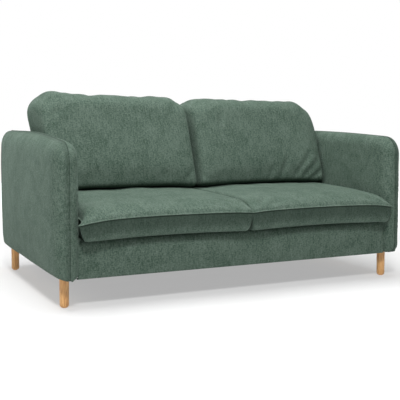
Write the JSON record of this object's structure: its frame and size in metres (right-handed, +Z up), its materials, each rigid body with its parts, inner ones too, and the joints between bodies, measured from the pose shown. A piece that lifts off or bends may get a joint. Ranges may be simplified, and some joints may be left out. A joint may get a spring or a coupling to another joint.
{
  "type": "two-seat sofa with wooden legs",
  "caption": "Upholstered sofa on round wooden legs, with padded slab arms, loose seat cushions and loose leaning back cushions that lift off a sprung seat.",
  "frame": {"origin": "on the floor, under the centre of the sofa's bounding box", "axes": "+X along the seat, to the right of someone who looks at the front; the front faces -Y; +Z is up"},
  "size_m": [1.608, 1.1, 0.8369],
  "materials": {
    "upholstery": "sage to forest green chenille weave with short soft pile",
    "leg_wood": "turned light hardwood, clear satin lacquer",
    "timber": "planed softwood frame, raw",
    "board": "thin hardboard, raw",
    "steel": "zinc-plated steel",
    "foam": "cut upholstery foam",
    "fibre": "white polyester fibre over foam",
    "felt": "pressed grey fibre felt",
    "webbing": "woven elastic webbing",
    "dust_cloth": "thin black non-woven cloth"
  },
  "bodies": {
    "frame": {"arm_bolts": "steel", "arm_bottom_rail_left": "timber", "arm_bottom_rail_right": "timber", "arm_inner_cover_left": "upholstery", "arm_inner_cover_right": "upholstery", "arm_inner_padding_left": "foam", "arm_inner_padding_right": "foam", "arm_outer_cover_left": "upholstery", "arm_outer_cover_right": "upholstery", "arm_outer_padding_left": "foam", "arm_outer_padding_right": "foam", "arm_posts_left": "timber", "arm_posts_right": "timber", "arm_side_boards_left": "board", "arm_side_boards_right": "board", "arm_top_rail_left": "timber", "arm_top_rail_right": "timber", "back_inner_cover": "upholstery", "back_inner_padding": "foam", "back_lower_rail": "timber", "back_posts": "timber", "back_top_cover": "upholstery", "back_top_padding": "foam", "back_upper_rail": "timber", "back_webbing": "webbing", "base_centre_rail": "timber", "base_front_rail": "timber", "base_rear_rail": "timber", "base_side_rail_left": "timber", "base_side_rail_right": "timber", "base_spring_rail": "timber", "corner_blocks": "timber", "deck_cover": "upholstery", "deck_padding": "foam", "front_cover": "upholstery", "front_padding": "foam", "hanger_bolts": "steel", "leg_front_left": "leg_wood", "leg_front_right": "leg_wood", "leg_nuts": "steel", "leg_rear_left": "leg_wood", "leg_rear_right": "leg_wood", "rear_cover": "upholstery", "rear_padding": "foam", "rear_posts": "timber", "rear_top_rail": "timber", "seat_springs": "steel", "spring_clips": "steel", "spring_insulator": "felt", "underside_dust_cover": "dust_cloth"},
    "seat_cushion_left": {"seat_cushion_cover_left": "upholstery", "seat_cushion_filling_left": "fibre"},
    "seat_cushion_right": {"seat_cushion_cover_right": "upholstery", "seat_cushion_filling_right": "fibre"},
    "back_cushion_left": {"back_cushion_cover_left": "upholstery", "back_cushion_filling_left": "fibre"},
    "back_cushion_right": {"back_cushion_cover_right": "upholstery", "back_cushion_filling_right": "fibre"}
  },
  "joints": [
    {"name": "seat_cushion_left_slide", "type": "slide", "parent": "frame", "child": "seat_cushion_left", "axis": [0, -1, 0], "range_m": [0, 0.75]},
    {"name": "seat_cushion_right_slide", "type": "slide", "parent": "frame", "child": "seat_cushion_right", "axis": [0, -1, 0], "range_m": [0, 0.75]},
    {"name": "back_cushion_left_lift", "type": "slide", "parent": "frame", "child": "back_cushion_left", "axis": [0, 0, 1], "range_m": [0, 0.45]},
    {"name": "back_cushion_right_lift", "type": "slide", "parent": "frame", "child": "back_cushion_right", "axis": [0, 0, 1], "range_m": [0, 0.45]}
  ]
}
